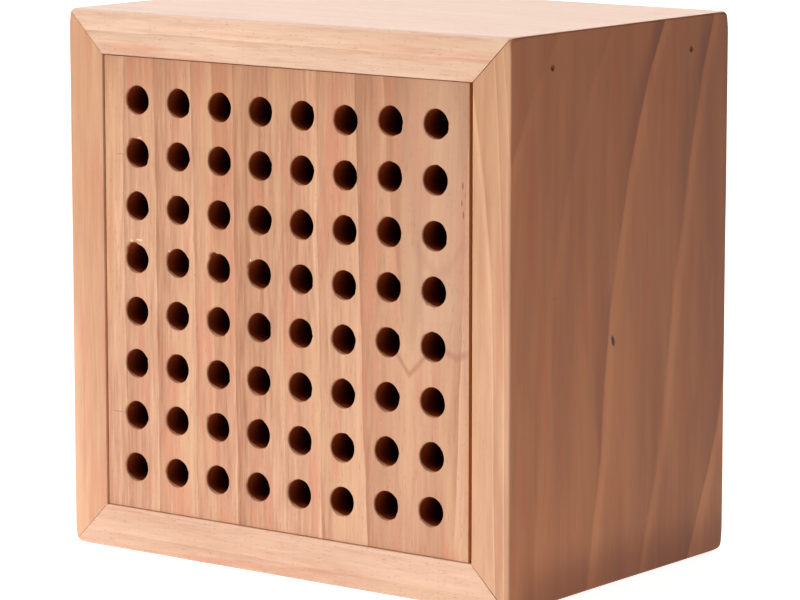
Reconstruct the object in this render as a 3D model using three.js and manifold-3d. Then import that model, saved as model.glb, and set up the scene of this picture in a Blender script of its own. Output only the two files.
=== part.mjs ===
// Insect hotel: a mitred beech case round a drilled nesting block that slides out of the front.
// Millimetres, +Z up. The origin is the middle of the underside, and the front faces -Y.
import * as THREE from 'three';
import { mergeVertices } from 'three/addons/utils/BufferGeometryUtils.js';
import Module from 'manifold-3d';

const wasm = await Module();
wasm.setup();

// Case
const CASE_WIDTH = 150;
const CASE_HEIGHT = 150;
const CASE_DEPTH = 102;
const BOARD_THICKNESS = 12;
const EDGE_RADIUS = 1.5;
const CORNER_RADIUS = 2;
const MITRE_GAP = 0.3;
const TOUCH_GAP = 0.3;

// Back panel, let into a rabbet round the rear of the case
const PANEL_THICKNESS = 10;
const RABBET_WIDTH = 6;

// Nesting block and its blind tunnels
const BLOCK_RECESS = 0.5;
const BLOCK_REAR_GAP = 0.5;
const BLOCK_GAP_LEFT = 0.7;
const BLOCK_GAP_RIGHT = 1.2;
const BLOCK_GAP_ABOVE = 0.4;
const BLOCK_GAP_BELOW = 0.4;
const TUNNEL_DIAMETER = 8;
const TUNNEL_DEPTH = 80;
const TUNNEL_PITCH_ACROSS = 14.5;
const TUNNEL_PITCH_UP = 14.6;
const TUNNELS_PER_ROW = 8;
const TUNNEL_SIDES = 16;
const GRID_CENTRE_X = -0.9;
const GRID_CENTRE_Z = CASE_HEIGHT / 2 - 0.2;
const GRID_LEAN = 1.5; // how far the foot of each column wanders left of its head
const COLUMN_RISE = [0.1, 0.1, 0, -0.2, -0.3, -0.5, 0.3, 0.5]; // drilled a touch high or low
const COLUMN_SHIFT = [0.1, 0.2, 0.2, -0.1, -0.3, -0.3, 0, 0.3]; // and a touch to one side

// Brads through the mitres, and the same brads through the back panel
const BRAD_RADIUS = 0.6;
const BRAD_HEAD_RADIUS = 0.9;
const BRAD_HEAD_LENGTH = 0.8;
const BRAD_POINT_LENGTH = 2;
const BRAD_SET_DEPTH = 1;
const BRAD_HOLE_GAP = 0.3;
const CORNER_BRAD_LENGTH = 25;
const PANEL_PIN_LENGTH = 19;
const CORNER_BRAD_END_INSET = 18.5; // from the front and rear edges
const CORNER_BRAD_MITRE_INSET = 9; // from the outer corner
const PANEL_PIN_EDGE_INSET = 3;
const PANEL_PIN_SPREAD = 42;

// Keyhole hanger, let in flush with the back panel
const HANGER_WIDTH = 44;
const HANGER_HEIGHT = 18;
const HANGER_THICKNESS = 1.5;
const HANGER_CORNER_RADIUS = 4;
const HANGER_Z = CASE_HEIGHT - 32;
const KEYHOLE_ENTRY_RADIUS = 4.5;
const KEYHOLE_ENTRY_DROP = 2;
const KEYHOLE_SLOT_WIDTH = 4.6;
const KEYHOLE_SLOT_RISE = 6;
const HEAD_POCKET_WIDTH = 13;
const HEAD_POCKET_HEIGHT = 15;
const HEAD_POCKET_DEPTH = 7.5;
const SCREW_SPREAD = 15;
const SCREW_RADIUS = 1.3;
const SCREW_HEAD_RADIUS = 2.5;
const SCREW_HEAD_DEPTH = 1.2;
const SCREW_LENGTH = 8;
const SCREW_POINT_LENGTH = 2;
const SCREW_HOLE_GAP = 0.3;

const FASTENER_SIDES = 12;
const EASE_SEGMENTS = 3; // to an eased edge
const CORNER_SEGMENTS = 6; // to a rounded corner of the hanger
const OVERSHOOT = 1; // how far a cutting shape runs out past the face it cuts
const FRONT_Y = -CASE_DEPTH / 2;
const REAR_Y = CASE_DEPTH / 2;
const INNER_HALF_WIDTH = CASE_WIDTH / 2 - BOARD_THICKNESS;
const PANEL_FRONT_Y = REAR_Y - PANEL_THICKNESS;
const QUARTER_TURN = Math.PI / 2;

const materials = {
  caseBeech: new THREE.MeshStandardMaterial({ color: 0xd9aa84, roughness: 0.65, metalness: 0 }),
  blockBeech: new THREE.MeshStandardMaterial({ color: 0xd2a081, roughness: 0.7, metalness: 0 }),
  panelBeech: new THREE.MeshStandardMaterial({ color: 0xd6ab88, roughness: 0.7, metalness: 0 }),
  bradSteel: new THREE.MeshStandardMaterial({ color: 0x6b5f58, roughness: 0.5, metalness: 1 }),
  zincPlate: new THREE.MeshStandardMaterial({ color: 0xb9bcc0, roughness: 0.35, metalness: 1 }),
};

// Closed geometry to solid: only positions, shared vertices merged, pole triangles dropped.
function toSolid(geometry) {
  const bare = geometry.clone();
  bare.deleteAttribute('normal');
  bare.deleteAttribute('uv');
  const merged = mergeVertices(bare);
  const source = merged.index.array;
  const triangles = [];
  for (let i = 0; i < source.length; i += 3) {
    const [a, b, c] = [source[i], source[i + 1], source[i + 2]];
    if (a !== b && b !== c && c !== a) triangles.push(a, b, c);
  }
  return new wasm.Manifold(new wasm.Mesh({
    numProp: 3,
    vertProperties: new Float32Array(merged.attributes.position.array),
    triVerts: new Uint32Array(triangles),
  }));
}

function toGeometry(solid) {
  const mesh = solid.getMesh();
  const geometry = new THREE.BufferGeometry();
  geometry.setAttribute('position', new THREE.BufferAttribute(mesh.vertProperties, 3));
  geometry.setIndex(new THREE.BufferAttribute(mesh.triVerts, 1));
  geometry.computeVertexNormals();
  return geometry;
}

// An outline in X and Z, extruded along Y from front to rear.
function extrudeAlongY(shape, front, rear, options = {}) {
  const geometry = new THREE.ExtrudeGeometry(shape, {
    depth: rear - front,
    bevelEnabled: false,
    ...options,
  });
  geometry.rotateX(QUARTER_TURN);
  geometry.translate(0, rear, 0);
  return geometry;
}

function boxBetween(low, high) {
  const geometry = new THREE.BoxGeometry(high.x - low.x, high.y - low.y, high.z - low.z);
  geometry.translate((low.x + high.x) / 2, (low.y + high.y) / 2, (low.z + high.z) / 2);
  return geometry;
}

function roundedRectangle(left, right, bottom, top, radius) {
  const shape = new THREE.Shape();
  shape.moveTo(left + radius, bottom);
  shape.lineTo(right - radius, bottom);
  shape.absarc(right - radius, bottom + radius, radius, -QUARTER_TURN, 0);
  shape.lineTo(right, top - radius);
  shape.absarc(right - radius, top - radius, radius, 0, QUARTER_TURN);
  shape.lineTo(left + radius, top);
  shape.absarc(left + radius, top - radius, radius, QUARTER_TURN, 2 * QUARTER_TURN);
  shape.lineTo(left, bottom + radius);
  shape.absarc(left + radius, bottom + radius, radius, 2 * QUARTER_TURN, 3 * QUARTER_TURN);
  return shape;
}

// The outside of the closed case, with every outer edge eased.
function caseEnvelope() {
  const halfWidth = CASE_WIDTH / 2 - EDGE_RADIUS;
  const shape = roundedRectangle(
    -halfWidth, halfWidth, EDGE_RADIUS, CASE_HEIGHT - EDGE_RADIUS, CORNER_RADIUS - EDGE_RADIUS,
  );
  const geometry = extrudeAlongY(shape, FRONT_Y + EDGE_RADIUS, REAR_Y - EDGE_RADIUS, {
    bevelEnabled: true,
    bevelThickness: EDGE_RADIUS,
    bevelSize: EDGE_RADIUS,
    bevelSegments: EASE_SEGMENTS,
    curveSegments: EASE_SEGMENTS,
  });
  return toSolid(geometry);
}

// A fastener's turned shape below the surface that it is driven into, which is y = 0. The
// hole for it is the same shape with a gap all round, open at the surface.
function bradProfile(length, gap) {
  const headTop = gap > 0 ? OVERSHOOT : -BRAD_SET_DEPTH;
  const headBase = -BRAD_SET_DEPTH - BRAD_HEAD_LENGTH - gap;
  const tip = -BRAD_SET_DEPTH - length - gap;
  return [
    new THREE.Vector2(0, tip),
    new THREE.Vector2(BRAD_RADIUS + gap, tip + BRAD_POINT_LENGTH),
    new THREE.Vector2(BRAD_RADIUS + gap, headBase),
    new THREE.Vector2(BRAD_HEAD_RADIUS + gap, headBase),
    new THREE.Vector2(BRAD_HEAD_RADIUS + gap, headTop),
    new THREE.Vector2(0, headTop),
  ];
}

function screwProfile(length, gap) {
  const profile = [
    new THREE.Vector2(0, -length - gap),
    new THREE.Vector2(SCREW_RADIUS + gap, -length - gap + SCREW_POINT_LENGTH),
    new THREE.Vector2(SCREW_RADIUS + gap, -SCREW_HEAD_DEPTH),
    new THREE.Vector2(SCREW_HEAD_RADIUS + gap, 0),
  ];
  if (gap > 0) profile.push(new THREE.Vector2(SCREW_HEAD_RADIUS + gap, OVERSHOOT));
  profile.push(new THREE.Vector2(0, gap > 0 ? OVERSHOOT : 0));
  return profile;
}

// The turn that takes a fastener's outer end from +Y to the face it is driven into.
const FACING = {
  right: new THREE.Euler(0, 0, -QUARTER_TURN),
  left: new THREE.Euler(0, 0, QUARTER_TURN),
  down: new THREE.Euler(-QUARTER_TURN, 0, 0),
  rear: new THREE.Euler(0, 0, 0),
};

function cornerBrads() {
  const reach = CASE_DEPTH / 2 - CORNER_BRAD_END_INSET;
  const list = [];
  for (const [end, y] of [['front', -reach], ['rear', reach]]) {
    for (const [side, sign] of [['left', -1], ['right', 1]]) {
      list.push({
        name: `corner_brad_top_${side}_${end}`,
        at: new THREE.Vector3(sign * CASE_WIDTH / 2, y, CASE_HEIGHT - CORNER_BRAD_MITRE_INSET),
        facing: FACING[side],
      });
      list.push({
        name: `corner_brad_bottom_${side}_${end}`,
        at: new THREE.Vector3(sign * (CASE_WIDTH / 2 - CORNER_BRAD_MITRE_INSET), y, 0),
        facing: FACING.down,
      });
    }
  }
  return list.map((brad) => ({
    ...brad, profile: bradProfile, length: CORNER_BRAD_LENGTH, gap: BRAD_HOLE_GAP,
  }));
}

function panelPins() {
  const reachX = INNER_HALF_WIDTH + RABBET_WIDTH - PANEL_PIN_EDGE_INSET;
  const centreZ = CASE_HEIGHT / 2;
  const reachZ = centreZ - BOARD_THICKNESS + RABBET_WIDTH - PANEL_PIN_EDGE_INSET;
  const places = [
    ['top', 0, centreZ + reachZ],
    ['bottom', 0, centreZ - reachZ],
  ];
  for (const [side, sign] of [['left', -1], ['right', 1]]) {
    places.push([`${side}_upper`, sign * reachX, centreZ + PANEL_PIN_SPREAD]);
    places.push([`${side}_middle`, sign * reachX, centreZ]);
    places.push([`${side}_lower`, sign * reachX, centreZ - PANEL_PIN_SPREAD]);
  }
  return places.map(([place, x, z]) => ({
    name: `panel_pin_${place}`,
    at: new THREE.Vector3(x, REAR_Y, z),
    facing: FACING.rear,
    profile: bradProfile,
    length: PANEL_PIN_LENGTH,
    gap: BRAD_HOLE_GAP,
  }));
}

function hangerScrews() {
  return [['left', -1], ['right', 1]].map(([side, sign]) => ({
    name: `hanger_screw_${side}`,
    at: new THREE.Vector3(sign * SCREW_SPREAD, REAR_Y, HANGER_Z),
    facing: FACING.rear,
    profile: screwProfile,
    length: SCREW_LENGTH,
    gap: SCREW_HOLE_GAP,
  }));
}

function fastenerGeometry(fastener) {
  return new THREE.LatheGeometry(fastener.profile(fastener.length, 0), FASTENER_SIDES);
}

function fastenerHole(fastener) {
  const profile = fastener.profile(fastener.length, fastener.gap);
  const geometry = new THREE.LatheGeometry(profile, FASTENER_SIDES);
  const turn = new THREE.Quaternion().setFromEuler(fastener.facing);
  geometry.applyMatrix4(new THREE.Matrix4().compose(
    fastener.at, turn, new THREE.Vector3(1, 1, 1),
  ));
  return toSolid(geometry);
}

function withHoles(solid, fasteners) {
  return fasteners.reduce((cut, fastener) => cut.subtract(fastenerHole(fastener)), solid);
}

// The four boards' outlines, seen from the front, each stepped back from its two mitres.
function boardOutlines() {
  const w = CASE_WIDTH / 2;
  const h = CASE_HEIGHT;
  const t = BOARD_THICKNESS;
  const s = MITRE_GAP / Math.SQRT2;
  return {
    top_board: [[-w + s, h], [-w + t + s, h - t], [w - t - s, h - t], [w - s, h]],
    bottom_board: [[-w + s, 0], [w - s, 0], [w - t - s, t], [-w + t + s, t]],
    left_side_board: [[-w, s], [-w + t, t + s], [-w + t, h - t - s], [-w, h - s]],
    right_side_board: [[w, s], [w, h - s], [w - t, h - t - s], [w - t, t + s]],
  };
}

function panelRabbet() {
  const reach = INNER_HALF_WIDTH + RABBET_WIDTH;
  const foot = BOARD_THICKNESS - RABBET_WIDTH;
  return toSolid(boxBetween(
    new THREE.Vector3(-reach, PANEL_FRONT_Y - TOUCH_GAP, foot),
    new THREE.Vector3(reach, REAR_Y + OVERSHOOT, CASE_HEIGHT - foot),
  ));
}

function caseBoard(outline, fasteners) {
  const shape = new THREE.Shape(outline.map(([x, z]) => new THREE.Vector2(x, z)));
  const mitred = toSolid(extrudeAlongY(shape, FRONT_Y, REAR_Y));
  const board = mitred.intersect(caseEnvelope()).subtract(panelRabbet());
  return toGeometry(withHoles(board, fasteners));
}

function keyholeShape() {
  const shape = new THREE.Path();
  const entryZ = HANGER_Z - KEYHOLE_ENTRY_DROP;
  const slotHalf = KEYHOLE_SLOT_WIDTH / 2;
  const neck = Math.asin(slotHalf / KEYHOLE_ENTRY_RADIUS);
  const slotTop = HANGER_Z + KEYHOLE_SLOT_RISE - slotHalf;
  shape.absarc(0, entryZ, KEYHOLE_ENTRY_RADIUS, QUARTER_TURN - neck, QUARTER_TURN + neck, true);
  shape.lineTo(-slotHalf, slotTop);
  shape.absarc(0, slotTop, slotHalf, 2 * QUARTER_TURN, 0, true);
  shape.closePath();
  return shape;
}

function hangerPlate(screws) {
  const shape = roundedRectangle(
    -HANGER_WIDTH / 2, HANGER_WIDTH / 2,
    HANGER_Z - HANGER_HEIGHT / 2, HANGER_Z + HANGER_HEIGHT / 2,
    HANGER_CORNER_RADIUS,
  );
  shape.holes.push(keyholeShape());
  const plate = extrudeAlongY(shape, REAR_Y - HANGER_THICKNESS, REAR_Y, {
    curveSegments: CORNER_SEGMENTS,
  });
  return toGeometry(withHoles(toSolid(plate), screws));
}

function hangerRecess() {
  const halfWidth = HANGER_WIDTH / 2 + TOUCH_GAP;
  const halfHeight = HANGER_HEIGHT / 2 + TOUCH_GAP;
  const shape = roundedRectangle(
    -halfWidth, halfWidth, HANGER_Z - halfHeight, HANGER_Z + halfHeight,
    HANGER_CORNER_RADIUS + TOUCH_GAP,
  );
  const floorY = REAR_Y - HANGER_THICKNESS - TOUCH_GAP;
  const seat = extrudeAlongY(shape, floorY, REAR_Y + OVERSHOOT, {
    curveSegments: CORNER_SEGMENTS,
  });
  const pocket = boxBetween(
    new THREE.Vector3(-HEAD_POCKET_WIDTH / 2, REAR_Y - HEAD_POCKET_DEPTH,
      HANGER_Z - HEAD_POCKET_HEIGHT / 2),
    new THREE.Vector3(HEAD_POCKET_WIDTH / 2, REAR_Y, HANGER_Z + HEAD_POCKET_HEIGHT / 2),
  );
  return toSolid(seat).add(toSolid(pocket));
}

function backPanel(fasteners) {
  const reach = INNER_HALF_WIDTH + RABBET_WIDTH - TOUCH_GAP;
  const foot = BOARD_THICKNESS - RABBET_WIDTH + TOUCH_GAP;
  const panel = toSolid(boxBetween(
    new THREE.Vector3(-reach, PANEL_FRONT_Y, foot),
    new THREE.Vector3(reach, REAR_Y, CASE_HEIGHT - foot),
  ));
  return toGeometry(withHoles(panel.subtract(hangerRecess()), fasteners));
}

// Where the tunnel in this row (0 at the foot) and column (0 at the left) opens.
function tunnelCentre(row, column) {
  const middle = (TUNNELS_PER_ROW - 1) / 2;
  const lean = GRID_LEAN * (row - middle) / (TUNNELS_PER_ROW - 1);
  return new THREE.Vector2(
    GRID_CENTRE_X + (column - middle) * TUNNEL_PITCH_ACROSS + lean + COLUMN_SHIFT[column],
    GRID_CENTRE_Z + (row - middle) * TUNNEL_PITCH_UP + COLUMN_RISE[column],
  );
}

function nestingBlock() {
  const front = FRONT_Y + BLOCK_RECESS;
  const rear = PANEL_FRONT_Y - BLOCK_REAR_GAP;
  const left = -INNER_HALF_WIDTH + BLOCK_GAP_LEFT;
  const right = INNER_HALF_WIDTH - BLOCK_GAP_RIGHT;
  const bottom = BOARD_THICKNESS + BLOCK_GAP_BELOW;
  const top = CASE_HEIGHT - BOARD_THICKNESS - BLOCK_GAP_ABOVE;
  let block = toSolid(boxBetween(
    new THREE.Vector3(left, front, bottom),
    new THREE.Vector3(right, rear, top),
  ));
  for (let row = 0; row < TUNNELS_PER_ROW; row += 1) {
    for (let column = 0; column < TUNNELS_PER_ROW; column += 1) {
      const centre = tunnelCentre(row, column);
      const length = TUNNEL_DEPTH + OVERSHOOT;
      const drill = new THREE.CylinderGeometry(
        TUNNEL_DIAMETER / 2, TUNNEL_DIAMETER / 2, length, TUNNEL_SIDES,
      );
      drill.translate(centre.x, front - OVERSHOOT + length / 2, centre.y);
      block = block.subtract(toSolid(drill));
    }
  }
  return toGeometry(block);
}

const insectHotel = new THREE.Group();

function addPart(name, geometry, material) {
  const mesh = new THREE.Mesh(geometry, material);
  mesh.name = name;
  insectHotel.add(mesh);
  return mesh;
}

function addFastener(fastener, material) {
  const geometry = toGeometry(toSolid(fastenerGeometry(fastener)));
  const mesh = addPart(fastener.name, geometry, material);
  mesh.position.copy(fastener.at);
  mesh.rotation.copy(fastener.facing);
}

const brads = cornerBrads();
const pins = panelPins();
const screws = hangerScrews();

for (const [name, outline] of Object.entries(boardOutlines())) {
  addPart(name, caseBoard(outline, [...brads, ...pins]), materials.caseBeech);
}
addPart('back_panel', backPanel([...pins, ...screws]), materials.panelBeech);
addPart('nesting_block', nestingBlock(), materials.blockBeech);
addPart('hanger_plate', hangerPlate(screws), materials.zincPlate);
brads.forEach((brad) => addFastener(brad, materials.bradSteel));
pins.forEach((pin) => addFastener(pin, materials.bradSteel));
screws.forEach((screw) => addFastener(screw, materials.zincPlate));

export default insectHotel;
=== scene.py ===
"""Looks of the insect hotel: a mitred beech case round a drilled beech nesting block.

Everything is in metres, in the CAD row's frame: +Z up, the front faces -Y. Places come from the
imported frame. The sizes below are the part's own, for what the frame doesn't state, and those of
details finer than its solids.
"""

import math
import random

import bmesh
import bpy
from mathutils import Matrix, Vector, noise


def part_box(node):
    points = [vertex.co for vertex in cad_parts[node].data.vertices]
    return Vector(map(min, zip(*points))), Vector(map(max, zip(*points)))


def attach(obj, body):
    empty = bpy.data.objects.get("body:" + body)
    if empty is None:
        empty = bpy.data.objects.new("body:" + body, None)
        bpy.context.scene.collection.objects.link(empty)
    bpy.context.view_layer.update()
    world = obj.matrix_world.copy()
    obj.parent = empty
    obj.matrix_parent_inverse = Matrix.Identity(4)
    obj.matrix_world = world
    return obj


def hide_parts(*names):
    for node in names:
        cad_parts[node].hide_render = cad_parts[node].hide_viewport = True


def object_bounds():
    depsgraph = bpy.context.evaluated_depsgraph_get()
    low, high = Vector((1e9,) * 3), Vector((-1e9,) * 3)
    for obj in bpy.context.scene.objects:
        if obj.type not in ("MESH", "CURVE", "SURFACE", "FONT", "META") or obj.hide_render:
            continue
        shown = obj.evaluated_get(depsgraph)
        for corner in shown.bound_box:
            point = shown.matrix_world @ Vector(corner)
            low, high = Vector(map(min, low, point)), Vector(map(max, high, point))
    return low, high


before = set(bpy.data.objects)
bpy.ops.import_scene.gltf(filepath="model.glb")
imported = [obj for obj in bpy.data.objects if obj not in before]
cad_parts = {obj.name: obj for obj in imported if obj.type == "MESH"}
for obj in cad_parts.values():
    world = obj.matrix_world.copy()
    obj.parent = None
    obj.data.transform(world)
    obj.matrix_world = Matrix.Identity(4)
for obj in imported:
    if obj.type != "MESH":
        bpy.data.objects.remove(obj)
CAD_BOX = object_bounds()

MM = 0.001
LOW, HIGH = CAD_BOX
CENTRE_Z = (LOW.z + HIGH.z) / 2
TINY = 1e-7
CUTTER_PROUD = 1 * MM  # how far a cutter sticks out of the surface it cuts
REARWARD = Vector((0, 1, 0))

# Case
BOARD_THICKNESS = 12 * MM
EDGE_RADIUS = 0.6 * MM
CORNER_RADIUS = 1.8 * MM
CORNER_REACH = 6 * MM
EDGE_RADIUS_WANDER = 0.15 * MM
EDGE_WANDER_LENGTH = 22 * MM
INNER_EASE = 0.2 * MM
BOARD_SHARP_DEGREES = 50
MITRE_GAPS = {  # how far each mitre has opened
    ("left", "top"): 0.12 * MM,
    ("right", "top"): 0.22 * MM,
    ("left", "bottom"): 0.12 * MM,
    ("right", "bottom"): 0.25 * MM,
}

# Back panel in its rabbet
PANEL_LOW, PANEL_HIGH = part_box("back_panel")
PANEL_GAP = 0.3 * MM
RABBET_REACH = HIGH.x - PANEL_HIGH.x - PANEL_GAP
RABBET_FRONT = PANEL_LOW.y - PANEL_GAP
PANEL_EDGE_EASE = 0.3 * MM

# Nesting block and tunnels
BLOCK_LOW, BLOCK_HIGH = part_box("nesting_block")
BLOCK_LOW += Vector((-0.35 * MM, 0, -0.24 * MM))  # the block fills its gaps unevenly
BLOCK_HIGH += Vector((-0.1 * MM, 0, 0.22 * MM))
TUNNELS = 8
TUNNEL_RADIUS = 4 * MM
TUNNEL_DEPTH = 80 * MM
TUNNEL_END_EASE = 0.3 * MM
TUNNEL_END_TIP = 1 * MM
TUNNEL_PITCH_ACROSS = 14.5 * MM
TUNNEL_PITCH_UP = 14.6 * MM
GRID_CENTRE_X = -0.9 * MM
GRID_CENTRE_Z = CENTRE_Z - 0.2 * MM
GRID_LEAN = 1.5 * MM
COLUMN_RISE = [0.1, 0.1, 0, -0.2, -0.3, -0.5, 0.3, 0.5]  # mm, column by column from the left
COLUMN_SHIFT = [0.1, 0.2, 0.2, -0.1, -0.3, -0.3, 0, 0.3]
RIM_POINTS = 48
BLOCK_EDGE_EASE = 0.25 * MM
BLOCK_SHARP_DEGREES = 40

# Fasteners
BRAD_RADIUS = 0.6 * MM
BRAD_HEAD_RADIUS = 0.72 * MM
BRAD_SET_DEPTH = 1 * MM
BRAD_HOLE_RADIUS = 0.8 * MM
FASTENER_SIDES = 24

# Hanger
PLATE_LOW, PLATE_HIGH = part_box("hanger_plate")
PLATE_MIDDLE_Z = (PLATE_LOW.z + PLATE_HIGH.z) / 2
PLATE_CORNER_RADIUS = 4 * MM
HEAD_POCKET_HALF_WIDTH = 6.5 * MM
HEAD_POCKET_HALF_HEIGHT = 7.5 * MM
HEAD_POCKET_DEPTH = 7.5 * MM
KEYHOLE_ENTRY_RADIUS = 4.5 * MM
KEYHOLE_ENTRY_DROP = 2 * MM
KEYHOLE_SLOT_HALF = 2.3 * MM
KEYHOLE_SLOT_RISE = 6 * MM
SCREW_SPREAD = 15 * MM
SCREW_HEAD_RADIUS = 2.5 * MM
SCREW_RADIUS = 1.3 * MM
SCREW_GAP = 0.3 * MM

# Camera
CAMERA_AZIMUTH = 37.28  # degrees to the right of straight ahead
CAMERA_ELEVATION = 9.01
CAMERA_DISTANCE = 1.1065
CAMERA_TARGET = Vector((0.00163, -0.001, 0.06957))
CAMERA_LENS_MM = 179.78


# ---- mesh helpers

def finish_mesh(mesh, sharp_degrees=35):
    """Turns the faces outward and shades them smooth, except across sharper edges."""
    edit = bmesh.new()
    edit.from_mesh(mesh)
    bmesh.ops.recalc_face_normals(edit, faces=edit.faces)
    edit.to_mesh(mesh)
    edit.free()
    mesh.shade_smooth()
    mesh.set_sharp_from_angle(angle=math.radians(sharp_degrees))


def new_object(name, points, faces, sharp_degrees=35):
    mesh = bpy.data.meshes.new(name)
    mesh.from_pydata([tuple(point) for point in points], [], [tuple(face) for face in faces])
    finish_mesh(mesh, sharp_degrees)
    piece = bpy.data.objects.new(name, mesh)
    bpy.context.scene.collection.objects.link(piece)
    return piece


def install(piece, body, node, material):
    """piece stands for the CAD node of that name, rides its body and shows the material."""
    piece.data.materials.append(material)
    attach(piece, body)
    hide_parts(node)
    return piece


def baked(piece):
    """Applies the piece's modifiers to its mesh."""
    graph = bpy.context.evaluated_depsgraph_get()
    mesh = bpy.data.meshes.new_from_object(piece.evaluated_get(graph))
    piece.modifiers.clear()
    piece.data = mesh
    return piece


def cut(piece, cutters, sharp_degrees=35):
    """Takes the cutters' volumes out of the piece, and removes the cutters."""
    for cutter in cutters:
        boolean = piece.modifiers.new("cut", "BOOLEAN")
        boolean.operation = "DIFFERENCE"
        boolean.solver = "EXACT"
        boolean.object = cutter
    bpy.context.view_layer.update()
    baked(piece)
    for cutter in cutters:
        bpy.data.objects.remove(cutter)
    finish_mesh(piece.data, sharp_degrees)
    return piece


def ease_edges(piece, width, segments):
    """Bevels the edges sharper than 40 degrees."""
    bevel = piece.modifiers.new("ease", "BEVEL")
    bevel.width = width
    bevel.segments = segments
    bevel.limit_method = "ANGLE"
    bevel.angle_limit = math.radians(40)
    bpy.context.view_layer.update()
    return baked(piece)


def lathe(name, profile, sides=FASTENER_SIDES):
    """A closed turned shape round Y. The profile is (radius, y) from axis to axis."""
    points = []
    rings = []
    for radius, y in profile:
        if radius == 0:
            rings.append([len(points)])
            points.append((0, y, 0))
            continue
        rings.append(list(range(len(points), len(points) + sides)))
        for i in range(sides):
            angle = 2 * math.pi * i / sides
            points.append((radius * math.cos(angle), y, radius * math.sin(angle)))
    faces = []
    for lower, upper in zip(rings, rings[1:]):
        for i in range(sides):
            j = (i + 1) % sides
            corners = [lower[i % len(lower)], lower[j % len(lower)],
                       upper[j % len(upper)], upper[i % len(upper)]]
            faces.append(list(dict.fromkeys(corners)))
    return new_object(name, points, faces)


def prism(name, outline, front, rear):
    """An outline in X and Z, extruded along Y."""
    count = len(outline)
    points = [(x, front, z) for x, z in outline] + [(x, rear, z) for x, z in outline]
    faces = [list(range(count)), list(range(2 * count - 1, count - 1, -1))]
    for i in range(count):
        j = (i + 1) % count
        faces.append([i, j, count + j, count + i])
    return new_object(name, points, faces)


# ---- case boards

# How far from a sharp corner the mesh has its points, so that ease_outside can round it
EASE_STEPS = [d * MM for d in (0.08, 0.18, 0.3, 0.45, 0.65, 0.95, 1.35, 1.9, 3.0, 4.5, 6.5)]
LONG_STEP = 6 * MM
MIDDLE_STATIONS = 24


def stepped(start, end, near_start=(), near_end=()):
    """Points from start up to but not including end, closer together near eased corners."""
    start, end = Vector(start), Vector(end)
    length = (end - start).length
    places = {0.0}
    places.update(near_start)
    places.update(length - d for d in near_end)
    inner_start = max(near_start, default=0.0)
    inner_end = length - max(near_end, default=0.0)
    count = max(1, round((inner_end - inner_start) / LONG_STEP))
    places.update(inner_start + (inner_end - inner_start) * i / count for i in range(count + 1))
    kept = sorted(d for d in places if d < length - TINY)
    return [start + (end - start) * (d / length) for d in kept]


def board_section():
    """The outline of a board across its grain, as (inset from the outer face, y)."""
    thick, ease = BOARD_THICKNESS, INNER_EASE
    front, rear = LOW.y, HIGH.y
    arc = [(thick - ease, front), (thick - 0.3 * ease, front + 0.3 * ease), (thick, front + ease)]
    return [
        *stepped((0, front), arc[0], near_start=EASE_STEPS),
        arc[0],
        arc[1],
        *stepped(arc[2], (thick, RABBET_FRONT)),
        *stepped((thick, RABBET_FRONT), (RABBET_REACH, RABBET_FRONT)),
        *stepped((RABBET_REACH, RABBET_FRONT), (RABBET_REACH, rear)),
        *stepped((RABBET_REACH, rear), (0, rear), near_end=EASE_STEPS),
        *stepped((0, rear), (0, front), EASE_STEPS, EASE_STEPS),
    ]


def ease_outside(point):
    """Moves a point of the sharp-edged case in to its rounded edges and rounder corners."""
    wander = noise.noise(point / EDGE_WANDER_LENGTH)
    from_corner = max(min(point[i] - LOW[i], HIGH[i] - point[i]) for i in range(3))
    near_corner = max(0, 1 - from_corner / CORNER_REACH) ** 2
    radius = EDGE_RADIUS + EDGE_RADIUS_WANDER * wander
    radius += (CORNER_RADIUS - EDGE_RADIUS) * near_corner
    nearest = Vector([
        min(max(point[i], LOW[i] + radius), HIGH[i] - radius) for i in range(3)
    ])
    away = point - nearest
    if away.length <= radius:
        return point
    return nearest + away * (radius / away.length)


def board_stations():
    """Where a board's sections are: a distance from either mitre, or a share of what is between."""
    ends = [0.0, *EASE_STEPS]
    first = [("start", d) for d in ends]
    between = [("share", i / MIDDLE_STATIONS) for i in range(1, MIDDLE_STATIONS)]
    last = [("end", d) for d in reversed(ends)]
    return first + between + last


def case_board(name, along, at_start, at_end, to_row):
    """A board whose length runs along one row axis, mitred at both ends.

    to_row turns (distance along, inset, y) into a point; at_start and at_end are mitre gaps."""
    section = board_section()
    reach = EASE_STEPS[-1]
    points = []
    stations = board_stations()
    for kind, value in stations:
        for inset, y in section:
            start = -along + inset + at_start / math.sqrt(2)
            end = along - inset - at_end / math.sqrt(2)
            if kind == "start":
                distance = start + value
            elif kind == "end":
                distance = end - value
            else:
                distance = start + reach + (end - start - 2 * reach) * value
            points.append(ease_outside(to_row(distance, inset, y)))
    count = len(section)
    faces = [list(range(count)), list(range(len(points) - count, len(points)))]
    for station in range(len(stations) - 1):
        base = station * count
        for i in range(count):
            j = (i + 1) % count
            faces.append([base + i, base + j, base + count + j, base + count + i])
    return new_object(f"{name}_wood", points, faces, BOARD_SHARP_DEGREES)


def case_boards():
    """The four boards by name, each with the gaps at its two mitres."""
    half = HIGH.x
    tall = (HIGH.z - LOW.z) / 2
    gap = MITRE_GAPS
    sides = {
        "top_board": (half, gap["left", "top"], gap["right", "top"],
                      lambda u, v, y: Vector((u, y, HIGH.z - v))),
        "bottom_board": (half, gap["left", "bottom"], gap["right", "bottom"],
                         lambda u, v, y: Vector((u, y, LOW.z + v))),
        "left_side_board": (tall, gap["left", "bottom"], gap["left", "top"],
                            lambda u, v, y: Vector((LOW.x + v, y, CENTRE_Z + u))),
        "right_side_board": (tall, gap["right", "bottom"], gap["right", "top"],
                             lambda u, v, y: Vector((HIGH.x - v, y, CENTRE_Z + u))),
    }
    return {name: case_board(name, *given) for name, given in sides.items()}


# ---- fasteners

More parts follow.
